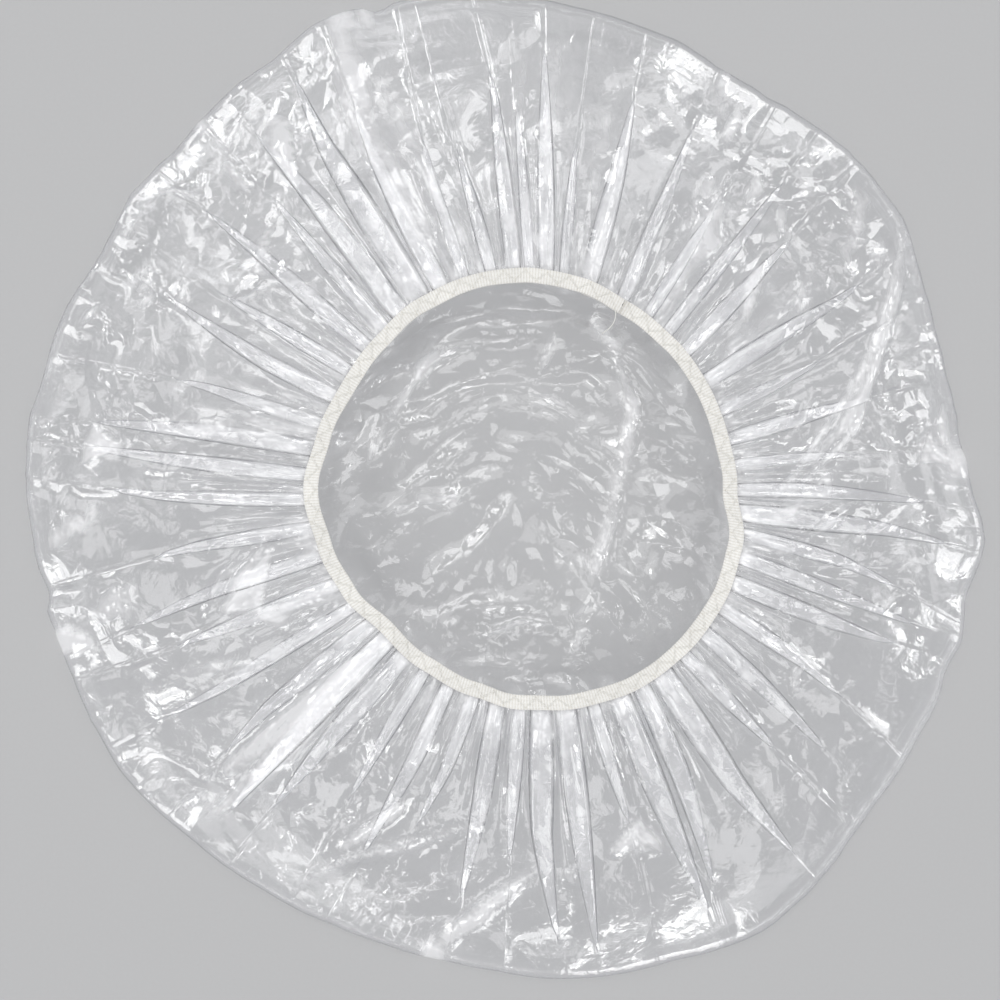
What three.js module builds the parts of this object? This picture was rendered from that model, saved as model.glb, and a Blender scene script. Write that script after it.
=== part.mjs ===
// Disposable shower cap, lying on its crown with the gathered mouth up.
// One round disc of clear film is folded back over itself and gathered on a flat elastic band.
// Units are millimetres, +Z is up, and the origin is the middle of the crown's underside.

import * as THREE from 'three';

// Film disc: the crown, the fold round the outside and the skirt that comes back to the mouth.
// The wall stands in for a film of a few hundredths of a millimetre.
const filmWall = 0.3;
const outlineRadius = 152;
const foldRadius = 3;
const skirtPuff = 2.5;

// Distance from the middle to the fold every 15 degrees, anticlockwise from +X.
const outlineShares = [
  0.97, 0.945, 0.98, 0.99, 0.98, 0.99, 1.01, 1.045,
  1.02, 0.995, 0.985, 1.0, 1.0, 0.985, 0.99, 0.985,
  0.98, 0.985, 1.01, 1.04, 1.065, 1.03, 1.005, 1.0,
];

// Mouth: the line that the middle of the elastic band follows, set a little off the crown's middle.
const mouthRadius = 66;
const mouthOffsetX = 6;
const mouthOffsetY = -1;
const mouthHeight = 16;
const mouthShares = [
  0.97, 0.96, 0.97, 0.975, 0.985, 1.015, 1.03, 1.03,
  1.015, 0.985, 0.975, 0.995, 1.015, 0.99, 0.97, 0.93,
  0.95, 0.98, 1.02, 1.05, 1.065, 1.065, 1.05, 1.025,
];

// Elastic band: a knitted strip laid round the mouth, its two cut ends lapped one over the other.
const bandWidth = 4.7;
const bandThickness = 1.2;
const bandCorner = 0.25;
const bandSeat = 0.3;
const lapClearance = 0.3;
const lapStart = THREE.MathUtils.degToRad(74);
const ringSteps = 64;
const lapSteps = 2;
const rampSteps = 3;

// Rubber cores: threads laid in tunnels along the knitted strip.
const coreRadius = 0.28;
const corePitch = 1.3;
const coreSides = 4;
const tunnelClearance = 0.1;

// Film hem under the band.
const hemSetback = 0.4;
const hemMargin = 0.3;

// Knife pleats that take up the film's spare length round the mouth. Each stands up at its root
// beside the hem, lies over to one side, narrows on its way out and dies away at its reach.
const pleatHeight = 3.2;
const pleatRootShare = 0.12;
const pleatReachShares = [
  0.92, 0.6, 0.95, 0.75, 0.88, 0.95, 0.55, 0.85,
  0.95, 0.7, 0.92, 0.6, 0.9, 0.75, 0.95, 0.65,
  0.92, 0.95, 0.7, 0.95, 0.8, 0.92, 0.6, 0.95,
];
const pleatShiftShares = [
  0.0, 0.18, -0.12, 0.1, -0.2, 0.05, 0.15, -0.1,
  0.2, -0.15, 0.0, 0.12, -0.18, 0.08, 0.2, -0.08,
  -0.2, 0.1, 0.0, -0.15, 0.18, 0.05, -0.1, 0.12,
];
const pleatsThatLeanBack = [1, 2, 5, 8, 9, 13, 14, 17, 20, 22];

// How far a sharp crease's mitre is held back.
const mitreSoftnessShare = 0.05;

// Across one pleat: where each crease stands along the pitch, spread flat and folded, and how high.
const creaseFlatShares = [0, 0.18, 0.38, 0.46, 0.54, 0.62, 0.82, 1];
const creaseFoldedShares = [0, 0.3, 0.62, 0.64, 0.3, 0.32, 0.8, 1];
const creaseHeightShares = [0, 0, 0.06, 0.4, 0.6, 0.95, 0.85, 0];

// Rows of a pleat from the hem out: shares of the way to its root and from there to its reach,
// of its full height, and of how far it lies over.
const pleatRowShares = [
  { root: 1, reach: 1, height: 0, fold: 0 },
  { root: 1, reach: 0.78, height: 0.6, fold: 0.25 },
  { root: 1, reach: 0.55, height: 0.85, fold: 0.7 },
  { root: 1, reach: 0.22, height: 1, fold: 1 },
  { root: 1, reach: 0, height: 1, fold: 0.25 },
  { root: 0.4, reach: 0, height: 0.4, fold: 0 },
  { root: 0, reach: 0, height: 0, fold: 0 },
];

// Stitching: one thread zigzags along the top of the band, the other under the film hem.
const threadRadius = 0.16;
const threadSides = 4;
const stitchReach = 1.5;
const stitchClearance = 0.3;
const stitchStartStep = 2.25;
const turnsPerStep = 2;
const tailLength = 9;
const tailDrop = 2.5;
const tailSwing = 1.6;
const tailShares = [0.2, 0.4, 0.6, 0.8, 1];

const pleatCount = pleatReachShares.length;
const creaseCount = creaseFlatShares.length - 1;
const stationCount = pleatCount * creaseCount;
const circleSteps = ringSteps - lapSteps;
const bandHalf = bandWidth / 2;
const bandFloor = mouthHeight + bandSeat;
const lapRise = bandThickness + lapClearance;

// Reads a closed table of shares at any angle, easing from one entry to the next.
function shareAt(shares, angle) {
  const place = THREE.MathUtils.euclideanModulo(angle / (2 * Math.PI), 1) * shares.length;
  const before = Math.floor(place) % shares.length;
  const after = (before + 1) % shares.length;
  const eased = (1 - Math.cos(Math.PI * (place - Math.floor(place)))) / 2;
  return THREE.MathUtils.lerp(shares[before], shares[after], eased);
}

function outlinePoint(angle, inset, height) {
  const radius = outlineRadius * shareAt(outlineShares, angle) - inset;
  return new THREE.Vector3(radius * Math.cos(angle), radius * Math.sin(angle), height);
}

function mouthPoint(angle, outward, height) {
  const radius = mouthRadius * shareAt(mouthShares, angle) + outward;
  return new THREE.Vector3(
    mouthOffsetX + radius * Math.cos(angle),
    mouthOffsetY + radius * Math.sin(angle),
    height,
  );
}

function meshFrom(name, points, faces, material) {
  const geometry = new THREE.BufferGeometry();
  geometry.setAttribute(
    'position',
    new THREE.Float32BufferAttribute(points.flatMap((point) => point.toArray()), 3),
  );
  geometry.setIndex(faces.flat());
  geometry.computeVertexNormals();
  const mesh = new THREE.Mesh(geometry, material);
  mesh.name = name;
  return mesh;
}

// Joins ring after ring of points into a skin. Each ring has the same number of points.
function skinFaces(ringCount, perRing) {
  const faces = [];
  for (let ring = 0; ring < ringCount - 1; ring += 1) {
    for (let step = 0; step < perRing; step += 1) {
      const next = (step + 1) % perRing;
      const here = ring * perRing;
      const there = here + perRing;
      faces.push([here + step, here + next, there + next]);
      faces.push([here + step, there + next, there + step]);
    }
  }
  return faces;
}

// Film

function pleatEdge(pleat) {
  const shift = pleatShiftShares[pleat % pleatCount];
  return (2 * Math.PI * (pleat + shift)) / pleatCount;
}

// One crease of one pleat where it lies over by a share: its angle round the cap, and its height
// as a share of the pleat's. A pleat that leans back is the mirror of one that leans forward.
function creasePlace(pleat, crease, fold) {
  const leansBack = pleatsThatLeanBack.includes(pleat);
  const read = leansBack ? creaseCount - crease : crease;
  const along = THREE.MathUtils.lerp(creaseFlatShares[read], creaseFoldedShares[read], fold);
  const turned = leansBack ? 1 - along : along;
  return {
    angle: THREE.MathUtils.lerp(pleatEdge(pleat), pleatEdge(pleat + 1), turned),
    heightShare: creaseHeightShares[read],
  };
}

function skirtPoint(pleat, crease, row) {
  const { angle, heightShare } = creasePlace(pleat, crease, row.fold);
  const rootToReach = pleatReachShares[pleat] - pleatRootShare;
  const outShare = row.root * pleatRootShare + row.reach * rootToReach;
  const inner = mouthPoint(angle, bandHalf + hemMargin, mouthHeight);
  const outer = outlinePoint(angle, foldRadius, 2 * foldRadius);
  const point = inner.lerp(outer, outShare);
  point.z += skirtPuff * 4 * outShare * (1 - outShare);
  point.z += pleatHeight * row.height * heightShare;
  return point;
}

// The outer face of the film from the crown's rim, round the fold and back in to the hem.
function outerRows() {
  const rows = [];
  const stations = [];
  for (let pleat = 0; pleat < pleatCount; pleat += 1) {
    for (let crease = 0; crease < creaseCount; crease += 1) {
      stations.push({ pleat, crease, angle: creasePlace(pleat, crease, 0).angle });
    }
  }
  for (const tilt of [-Math.PI / 2, -Math.PI / 6, Math.PI / 6, Math.PI / 2]) {
    const inset = foldRadius * (1 - Math.cos(tilt));
    const height = foldRadius * (1 + Math.sin(tilt));
    rows.push(stations.map(({ angle }) => outlinePoint(angle, inset, height)));
  }
  for (const row of pleatRowShares) {
    rows.push(stations.map(({ pleat, crease }) => skirtPoint(pleat, crease, row)));
  }
  const hemEdge = hemSetback - bandHalf;
  rows.push(stations.map(({ angle }) => mouthPoint(angle, hemEdge, mouthHeight)));
  return rows;
}

// Moves each point inward so that it lies one wall behind all the facets that meet there, by least
// squares. The softness keeps the mitre short where the film is folded sharply.
function innerFace(points, faces) {
  const outward = points.map(() => new THREE.Vector3());
  const spread = points.map(() => new THREE.Matrix3().multiplyScalar(mitreSoftnessShare));
  const facet = new THREE.Triangle();
  const normal = new THREE.Vector3();
  for (const corners of faces) {
    facet.set(...corners.map((corner) => points[corner]));
    facet.getNormal(normal);
    const parts = normal.toArray();
    for (const corner of corners) {
      outward[corner].add(normal);
      spread[corner].elements.forEach((value, place, elements) => {
        elements[place] = value + parts[Math.floor(place / 3)] * parts[place % 3];
      });
    }
  }
  return points.map((point, index) => {
    const way = outward[index].applyMatrix3(spread[index].invert());
    return point.clone().addScaledVector(way, -filmWall);
  });
}

function filmCap() {
  const rows = outerRows();
  const crownMiddle = rows.flat().length;
  const outer = [...rows.flat(), new THREE.Vector3(0, 0, 0)];
  const outerSkin = skinFaces(rows.length, stationCount);
  for (let step = 0; step < stationCount; step += 1) {
    outerSkin.push([crownMiddle, (step + 1) % stationCount, step]);
  }
  const points = [...outer, ...innerFace(outer, outerSkin)];
  const inside = outer.length;
  const innerSkin = outerSkin.map(([a, b, c]) => [inside + a, inside + c, inside + b]);
  const faces = [...outerSkin, ...innerSkin];
  const hem = crownMiddle - stationCount;
  for (let step = 0; step < stationCount; step += 1) {
    const next = (step + 1) % stationCount;
    faces.push([hem + step, hem + next, hem + inside + next]);
    faces.push([hem + step, hem + inside + next, hem + inside + step]);
  }
  const material = new THREE.MeshStandardMaterial({
    color: 0xeceaee,
    roughness: 0.12,
    metalness: 0,
    transparent: true,
    opacity: 0.4,
    side: THREE.DoubleSide,
  });
  return meshFrom('film_cap', points, faces, material);
}

// Elastic band

// A place along the strip, counted in steps from its lower end. It runs clockwise round the mouth,
// climbs over its own start and ends on top of it.
function stripAngle(step) {
  return lapStart - (2 * Math.PI * step) / circleSteps;
}

function stripLift(step) {
  const climbed = (step - (circleSteps - rampSteps)) / rampSteps;
  return lapRise * THREE.MathUtils.clamp(climbed, 0, 1);
}

function roundSection(radius, middle) {
  const section = [];
  for (let side = 0; side < coreSides; side += 1) {
    const turn = (2 * Math.PI * side) / coreSides;
    section.push(new THREE.Vector2(middle + radius * Math.cos(turn), radius * Math.sin(turn)));
  }
  return section;
}

function chamferedRectangle(width, thickness, corner) {
  const half = width / 2;
  const top = thickness / 2;
  return [
    new THREE.Vector2(corner - half, -top),
    new THREE.Vector2(half - corner, -top),
    new THREE.Vector2(half, corner - top),
    new THREE.Vector2(half, top - corner),
    new THREE.Vector2(half - corner, top),
    new THREE.Vector2(corner - half, top),
    new THREE.Vector2(-half, top - corner),
    new THREE.Vector2(-half, corner - top),
  ];
}

// Sweeps a section, with any tunnels through it, along the strip and closes both cut ends.
function strip(name, section, tunnels, material) {
  const loops = [section, ...tunnels.map((tunnel) => [...tunnel].reverse())];
  const perRing = loops.flat().length;
  const points = [];
  for (let step = 0; step <= ringSteps; step += 1) {
    const middle = bandFloor + bandThickness / 2 + stripLift(step);
    for (const corner of loops.flat()) {
      points.push(mouthPoint(stripAngle(step), corner.x, middle + corner.y));
    }
  }
  const faces = [];
  for (let step = 0; step < ringSteps; step += 1) {
    let first = step * perRing;
    for (const loop of loops) {
      for (let corner = 0; corner < loop.length; corner += 1) {
        const here = first + corner;
        const beside = first + ((corner + 1) % loop.length);
        faces.push([here, beside, beside + perRing]);
        faces.push([here, beside + perRing, here + perRing]);
      }
      first += loop.length;
    }
  }
  const lastRing = ringSteps * perRing;
  for (const [a, b, c] of THREE.ShapeUtils.triangulateShape(loops[0], loops.slice(1))) {
    faces.push([c, b, a]);
    faces.push([lastRing + a, lastRing + b, lastRing + c]);
  }
  return meshFrom(name, points, faces, material);
}

function elasticBand() {
  const tunnels = [-corePitch, 0, corePitch].map((middle) => (
    roundSection(coreRadius + tunnelClearance, middle)
  ));
  const material = new THREE.MeshStandardMaterial({ color: 0xf3f0e4, roughness: 0.9, metalness: 0 });
  return strip('elastic_band', chamferedRectangle(bandWidth, bandThickness, bandCorner), tunnels, material);
}

function rubberCore(name, middle) {
  const material = new THREE.MeshStandardMaterial({ color: 0xe2d8bd, roughness: 0.6, metalness: 0 });
  return strip(name, roundSection(coreRadius, middle), [], material);
}

// Stitching

// A closed tube along a run of points, square across at both ends.
function tube(name, path, radius, sides, material) {
  const points = [];
  path.forEach((point, index) => {
    const before = path[Math.max(index - 1, 0)];
    const after = path[Math.min(index + 1, path.length - 1)];
    const along = after.clone().sub(before).normalize();
    const across = new THREE.Vector3(0, 0, 1).cross(along).normalize();
    const upward = along.clone().cross(across);
    for (let side = 0; side < sides; side += 1) {
      const turn = (2 * Math.PI * side) / sides;
      points.push(point.clone()
        .addScaledVector(across, radius * Math.cos(turn))
        .addScaledVector(upward, radius * Math.sin(turn)));
    }
  });
  const faces = skinFaces(path.length, sides);
  const lastRing = (path.length - 1) * sides;
  for (let side = 1; side < sides - 1; side += 1) {
    faces.push([0, side + 1, side]);
    faces.push([lastRing, lastRing + side, lastRing + side + 1]);
  }
  return meshFrom(name, points, faces, material);
}

// Places of the zigzag's turns along the strip, from clear of the upper cut end round to just
// short of it.
function stitchPath(heightAt) {
  const path = [];
  let side = 1;
  for (let step = stitchStartStep; step < ringSteps; step += 1 / turnsPerStep) {
    path.push(mouthPoint(stripAngle(step), side * stitchReach, heightAt(step)));
    side = -side;
  }
  return path;
}

function threadMaterial() {
  return new THREE.MeshStandardMaterial({ color: 0xfaf9f6, roughness: 0.7, metalness: 0 });
}

function needleThread() {
  const rest = bandFloor + bandThickness + stitchClearance + threadRadius;
  const path = stitchPath((step) => rest + stripLift(step));
  const leave = path[path.length - 1];
  const inward = new THREE.Vector3(mouthOffsetX, mouthOffsetY, leave.z).sub(leave).normalize();
  const aside = new THREE.Vector3(-inward.y, inward.x, 0);
  for (const share of tailShares) {
    path.push(leave.clone()
      .addScaledVector(inward, tailLength * share)
      .addScaledVector(aside, tailSwing * Math.sin(Math.PI * share))
      .setZ(leave.z - tailDrop * share * share));
  }
  return tube('needle_thread', path, threadRadius, threadSides, threadMaterial());
}

function bobbinThread() {
  const rest = mouthHeight - filmWall - stitchClearance - threadRadius;
  return tube('bobbin_thread', stitchPath(() => rest), threadRadius, threadSides, threadMaterial());
}

const showerCap = new THREE.Group();
showerCap.add(
  filmCap(),
  elasticBand(),
  rubberCore('rubber_core_inner', -corePitch),
  rubberCore('rubber_core_middle', 0),
  rubberCore('rubber_core_outer', corePitch),
  needleThread(),
  bobbinThread(),
);

export default showerCap;
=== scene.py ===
import math

import bpy
import numpy as np
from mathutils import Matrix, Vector
from mathutils.geometry import tessellate_polygon


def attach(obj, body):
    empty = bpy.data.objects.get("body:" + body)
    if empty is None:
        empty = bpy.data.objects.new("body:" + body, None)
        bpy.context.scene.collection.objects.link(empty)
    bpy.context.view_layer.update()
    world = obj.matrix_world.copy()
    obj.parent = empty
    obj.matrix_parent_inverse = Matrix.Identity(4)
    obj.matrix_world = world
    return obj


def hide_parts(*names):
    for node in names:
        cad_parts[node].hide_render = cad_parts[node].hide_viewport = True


# Disposable shower cap, lying on its crown with the gathered mouth up. Lengths are in millimetres
# until a mesh is made, and places read off the photograph are in its pixels.

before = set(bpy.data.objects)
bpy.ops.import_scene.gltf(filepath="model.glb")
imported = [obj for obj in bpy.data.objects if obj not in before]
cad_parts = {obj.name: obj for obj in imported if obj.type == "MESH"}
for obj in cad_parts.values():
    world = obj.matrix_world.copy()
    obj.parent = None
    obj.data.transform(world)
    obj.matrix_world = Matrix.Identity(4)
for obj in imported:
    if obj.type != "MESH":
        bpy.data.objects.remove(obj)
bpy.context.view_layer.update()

scene = bpy.context.scene
MM = 0.001


def place_object(name, data):
    placed = bpy.data.objects.new(name, data)
    scene.collection.objects.link(placed)
    return placed


# Camera: straight above, framed as the photograph is
PIXEL = 0.315
FRAME_PIXELS = 1000
CENTRE_X = 506
CENTRE_Y = 487
LENS = 85
SENSOR = 36
FOCUS_HEIGHT = 4

camera_data = bpy.data.cameras.new("camera")
camera_data.lens = LENS
camera_data.sensor_width = SENSOR
camera = place_object("camera", camera_data)
camera.location = (
    (FRAME_PIXELS / 2 - CENTRE_X) * PIXEL * MM,
    (CENTRE_Y - FRAME_PIXELS / 2) * PIXEL * MM,
    (FOCUS_HEIGHT + FRAME_PIXELS * PIXEL * LENS / SENSOR) * MM,
)
scene.camera = camera

# Cap: its rim's corners, x and y in turn, then its main sizes
RIM = (
    977, 497, 962, 437, 948, 375, 937, 330, 927, 290, 915, 248, 907, 218, 877, 180, 847, 147,
    817, 125, 767, 95, 720, 65, 687, 43, 643, 25, 607, 13, 562, 2, 520, -6, 470, -10, 420, -5,
    388, 2, 376, 14, 368, 7, 350, 7, 313, 23, 267, 62, 230, 87, 200, 117, 177, 147, 150, 170,
    128, 195, 113, 227, 93, 263, 68, 300, 55, 328, 45, 360, 37, 387, 26, 418, 24, 450, 25, 500,
    28, 527, 35, 565, 50, 597, 44, 610, 53, 632, 72, 682, 95, 732, 107, 755, 133, 790, 170, 823,
    233, 873, 277, 900, 357, 937, 422, 958, 500, 973, 550, 981, 623, 976, 680, 962, 732, 948,
    773, 928, 810, 895, 847, 848, 870, 815, 898, 777, 920, 740, 937, 707, 948, 670, 965, 640,
    967, 600, 980, 570, 988, 540,
)
RIM_EASE = 0.011
OUTLINE_RADIUS = 152
FOLD_RADIUS = 3
FOLD_TOP = 4.4
FOLD_FLOOR = 0.2
FOLD_BULGE = 0.8
SKIRT_PUFF = 2.5
MOUTH_RADIUS = 65
MOUTH_X = 6
MOUTH_Y = -1
MOUTH_HEIGHT = 16
# The mouth's radius every 15 degrees, anticlockwise from +X
MOUTH_SHARES = (
    0.975, 0.965, 0.97, 0.975, 0.985, 1.01, 1.02, 1.02,
    1.01, 0.985, 0.975, 0.995, 1.02, 0.99, 0.97, 0.93,
    0.95, 0.98, 1.01, 1.035, 1.055, 1.06, 1.055, 1.035,
)

# Band, with its rubber threads and its stitch
BAND_WIDTH = 4.7
BAND_THICKNESS = 1.2
BAND_SEAT = 0.3
BAND_FLOOR = MOUTH_HEIGHT + BAND_SEAT
BAND_LEAST = MOUTH_HEIGHT + 0.05
BAND_CORNER = 0.25
EDGE_IN = 0.07
EDGE_DROP = 0.08
RIB_PITCH = 0.9
RIB_ROWS = 5
RIB_HEIGHT = 0.09
RIB_BEND = 0.14
WALE_HEIGHT = 0.07
FUZZ_HEIGHT = 0.03
BAND_TOP_COLUMNS = 15
BAND_UNDER_COLUMNS = 6
HOLE_RADIUS = 0.4
HOLE_DEPTH = 0.12
GROOVE_WIDTH = 0.4
GROOVE_DEPTH = 0.16
FRAY = 0.025
SAG = 0.04
HEM_SETBACK = 0.4
HEM_MARGIN = 0.3
LAP_CLEARANCE = 0.3
LAP_START = math.radians(74)
RING_STEPS = 64
LAP_STEPS = 2
RAMP_STEPS = 3
CORE_RADIUS = 0.28
CORE_PITCH = 1.3
CORE_SIDES = 14
CORE_PROUD = 0.03
TUNNEL_GAP = 0.1
TUNNEL_SIDES = 10
THREAD_RADIUS = 0.16
THREAD_SIDES = 8
THREAD_TWIST = 1.1
THREAD_PRESS = 0.04
STITCH_REACH = 1.5
STITCH_CLEARANCE = 0.3
STITCH_START = 2.25
TURNS_PER_STEP = 2
POINTS_PER_TURN = 30
TURN_ROUNDING = 0.16
TOP_DIP = 0.1
UNDER_DIP = 0.2
TAIL_LENGTH = 9
TAIL_DROP = 2.5
TAIL_RISE = 0.5
TAIL_SWING = 1.6

# Knife pleats seen in the photograph: direction from the mouth in degrees, how far out towards the
# fold they reach, how wide they lie in millimetres, and which way they lie over
PLEATS = (
    (0, 0.9, 5, 1), (7, 0.62, 3.6, -1), (14, 0.74, 5.2, 1), (22, 0.55, 4.2, 1), (31, 0.82, 6, -1),
    (41, 0.66, 5.4, 1), (48, 0.86, 4.6, -1), (55, 0.58, 4.2, 1), (63, 0.84, 4.8, -1),
    (73, 0.8, 6.2, 1), (80, 0.6, 3.4, -1), (84.5, 0.93, 5.2, 1), (89, 0.72, 3.4, -1),
    (93, 0.82, 5, 1), (99, 0.5, 4.2, -1), (106, 0.62, 3.6, 1), (113, 0.74, 6, -1),
    (119, 0.97, 8.2, 1), (125, 0.9, 6.8, -1), (131, 0.7, 4.6, 1), (138, 0.84, 5.6, -1),
    (146, 0.6, 4.8, 1), (154, 0.78, 5.4, -1), (162, 0.6, 4.4, 1), (169, 0.86, 5.8, -1),
    (176, 0.9, 5, 1), (182.5, 0.8, 4.6, -1), (190, 0.66, 4.8, 1), (198, 0.82, 5, -1),
    (206.5, 0.66, 5.6, 1), (214, 0.86, 4.8, -1), (221, 0.74, 6, 1), (227, 0.9, 8, -1),
    (233.5, 0.78, 7, 1), (241, 0.62, 4.4, -1), (248.5, 0.8, 5.4, 1), (256, 0.6, 4.4, -1),
    (262.5, 0.84, 6.2, 1), (268.5, 0.66, 4.4, -1), (274, 0.92, 7.6, 1), (280.5, 0.97, 7.2, -1),
    (287.5, 0.52, 4.4, 1), (294.5, 0.94, 7.4, -1), (300.5, 0.84, 6.2, 1), (306.5, 0.92, 8, -1),
    (314, 0.6, 4.8, 1), (321.5, 0.78, 5.4, -1), (329, 0.7, 4.8, 1), (336, 0.84, 5.6, -1),
    (342.5, 0.9, 4.8, 1), (348.5, 0.8, 4.6, -1), (354, 0.94, 6.4, 1),
)
LEAST_LAYER = 0.8
FOLDS_BY = 0.9
PLEAT_LIFT = 1.5
PLEAT_GAP = 0.9
PLEAT_SPREADS = 40
EDGE_GLINT = 4.5
LAYER_COLUMNS = 5
BASE_COLUMNS = 7
SKIRT_ROWS = 58
FOLD_ROWS = 5
HEM_ROWS = 2
CROWN_EVERY = 4
CROWN_RIM_ROWS = 28
CROWN_MOUTH_ROWS = 54
CROWN_ROWS = CROWN_RIM_ROWS + CROWN_MOUTH_ROWS

# Heights of what stands up from the plain skirt
HEM_SINK = 0.15
HEM_SHARE = 0.12
GATHER_HEIGHT = 1.15
PUCKER_HEIGHT = 0.35
RIPPLE_HEIGHT = 0.5
CRUMPLE_HEIGHT = 1.5

# Crown: its creases run in arcs round a point below the mouth's middle
ARC_X = -3
ARC_Y = -62
ARC_PITCH = 12
ARC_REACH = 80
CROWN_REST = 1.2
LEAST_HEIGHT = 0.15
CALM_SHARE = 0.6

# Facets that tip in the film's material: how many cells round, how long one is, how far it tips
FACET_TURNS = 20
FACET_LENGTH = 16
CROWN_FACET_TURNS = 4.6
CROWN_FACET_LENGTH = 6.5
FACET_TILT = 0.34

# Painted highlight along the fold: how white it shows from its top to its foot, then how strong
# every 15 degrees, anticlockwise from +X
RIM_GLINT = np.array((0.1, 0.16, 0.12, 0.05, 0.02))
RIM_GLINT_SHARES = (
    1.2, 1.0, 1.0, 1.4, 0.7, 0.5, 0.5, 2.0,
    1.7, 2.0, 1.6, 1.6, 1.6, 1.3, 1.0, 1.0,
    1.0, 1.3, 1.6, 1.4, 1.2, 1.8, 2.8, 1.9,
)
# How crumpled the skirt is every 15 degrees
CRUMPLE_SHARES = (
    0.55, 0.85, 1.0, 1.0, 0.75, 0.45, 0.4, 0.5,
    0.75, 0.95, 1.0, 0.95, 0.75, 0.75, 0.95, 0.85,
    0.6, 0.5, 0.35, 0.3, 0.35, 0.45, 0.5, 0.5,
)
# Where the skirt lies calm: a place, and how far that reaches in millimetres
CALM = (
    (690, 80, 24), (745, 115, 16), (705, 930, 24), (600, 935, 14), (890, 620, 18),
    (310, 860, 22), (190, 720, 16), (215, 350, 16), (140, 560, 14), (450, 70, 18),
)
# Creases that cross the skirt: half-width and height in millimetres, then two points or more
CREASES = (
    (3.4, 1.9, 905, 238, 893, 300, 880, 345, 862, 395, 840, 430, 800, 470),
    (2.6, 1.1, 958, 380, 974, 425, 985, 470), (3, 1.3, 925, 440, 955, 462, 962, 430),
    (2.4, 1.1, 850, 255, 858, 212), (2.2, 1, 872, 285, 888, 262, 880, 240),
    (3.6, 1.7, 650, 306, 690, 262, 722, 188), (2.4, 1.2, 700, 205, 712, 250),
    (2.4, 1.3, 739, 327, 750, 300, 760, 262), (2.2, 1.2, 766, 330, 792, 300, 814, 258),
    (2.6, 1.1, 700, 365, 760, 345, 830, 290), (2.2, 1, 715, 395, 760, 372, 800, 352),
    (2, 1.2, 781, 447, 797, 422, 811, 393), (2, 0.9, 745, 425, 792, 455),
    (2.4, 1.1, 765, 512, 805, 505, 850, 496), (2.2, 1, 768, 560, 815, 530, 853, 500),
    (2, 0.9, 868, 535, 905, 508, 930, 484), (1.8, 0.9, 768, 572, 860, 566, 955, 556),
    (1.8, 0.9, 873, 617, 896, 595, 925, 575), (1.6, 0.9, 415, 83, 440, 140, 475, 218),
    (1.6, 0.9, 601, 14, 593, 75), (1.6, 0.9, 637, 146, 668, 108, 705, 69),
    (1.8, 1, 707, 158, 730, 130, 748, 95), (1.8, 1, 719, 118, 725, 72),
    (3.4, 1.6, 330, 20, 350, 80, 372, 150), (2.6, 1.3, 350, 12, 362, 70, 385, 130),
    (3.4, 1.5, 272, 117, 284, 150, 296, 183), (2.4, 1.2, 250, 110, 232, 140, 226, 165),
    (2.2, 1.1, 226, 165, 240, 190, 255, 192), (2, 1.1, 148, 245, 152, 313),
    (1.8, 0.9, 185, 268, 182, 330), (1.8, 1, 262, 262, 285, 200),
    (1.6, 0.9, 141, 193, 175, 190, 207, 200), (1.8, 1, 248, 272, 290, 285, 320, 318),
    (2.6, 1.3, 96, 424, 121, 448, 88, 462), (2, 1, 83, 396, 125, 412, 165, 425, 207, 441),
    (1.6, 0.9, 30, 505, 48, 465, 75, 430), (2.2, 1.1, 38, 551, 75, 528, 114, 503),
    (4, 1.8, 224, 610, 245, 580, 269, 541), (2.2, 1.1, 212, 612, 222, 575, 250, 548),
    (2.4, 1.1, 150, 692, 205, 672, 273, 660), (4.2, 2, 219, 775, 290, 712, 371, 646),
    (3, 1.5, 219, 812, 275, 765, 334, 715), (2.2, 1.2, 226, 766, 300, 700, 362, 642),
    (2.2, 1.3, 238, 786, 310, 722, 384, 660), (1.8, 1, 246, 760, 330, 690, 392, 640),
    (2.6, 1.3, 344, 40, 372, 120, 415, 205, 458, 268),
    (2.4, 1.2, 318, 40, 352, 120, 398, 200, 440, 272), (1.8, 1, 170, 807, 210, 790),
    (1.6, 0.9, 288, 818, 296, 746), (3, 1.5, 339, 847, 370, 825, 402, 801),
    (3, 1.2, 293, 884, 360, 852, 420, 838, 486, 815), (3.8, 1.8, 423, 956, 480, 905, 534, 864),
    (1.6, 0.9, 368, 703, 380, 745, 394, 781), (1.6, 0.8, 497, 924, 525, 950, 552, 967),
    (1.6, 0.8, 555, 970, 589, 947), (2.6, 1.4, 608, 853, 622, 835, 637, 815),
    (2.2, 1.1, 630, 850, 660, 842), (1.6, 0.8, 841, 758, 845, 800, 848, 847),
    (1.6, 0.9, 777, 732, 803, 710), (1.6, 0.8, 838, 739, 892, 732), (1.8, 1, 790, 694, 797, 659),
    (3, 1.2, 100, 610, 125, 590, 140, 612), (2.4, 1, 60, 625, 90, 640, 100, 660),
    (1.8, 0.9, 250, 640, 320, 610), (1.6, 0.7, 690, 860, 720, 900),
)
CROWN_CREASES = (
    (2.8, 1.3, 603, 308, 612, 345, 634, 400, 631, 450, 620, 500), (3, 1.1, 634, 395, 640, 420),
    (2.4, 1.1, 620, 500, 608, 548, 600, 582), (2, 0.9, 598, 595, 583, 625, 576, 668),
    (2, 1, 432, 345, 418, 375, 404, 405), (1.8, 1.2, 552, 348, 541, 372),
    (1.6, 1, 400, 425, 385, 450), (2, 1, 410, 370, 440, 352, 480, 345),
    (2.2, 1, 520, 385, 560, 402, 590, 430), (2.2, 1.1, 380, 520, 420, 500, 470, 495),
    (2.2, 1, 470, 640, 520, 622, 560, 628), (2, 1, 650, 560, 668, 590, 690, 600),
)
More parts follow.
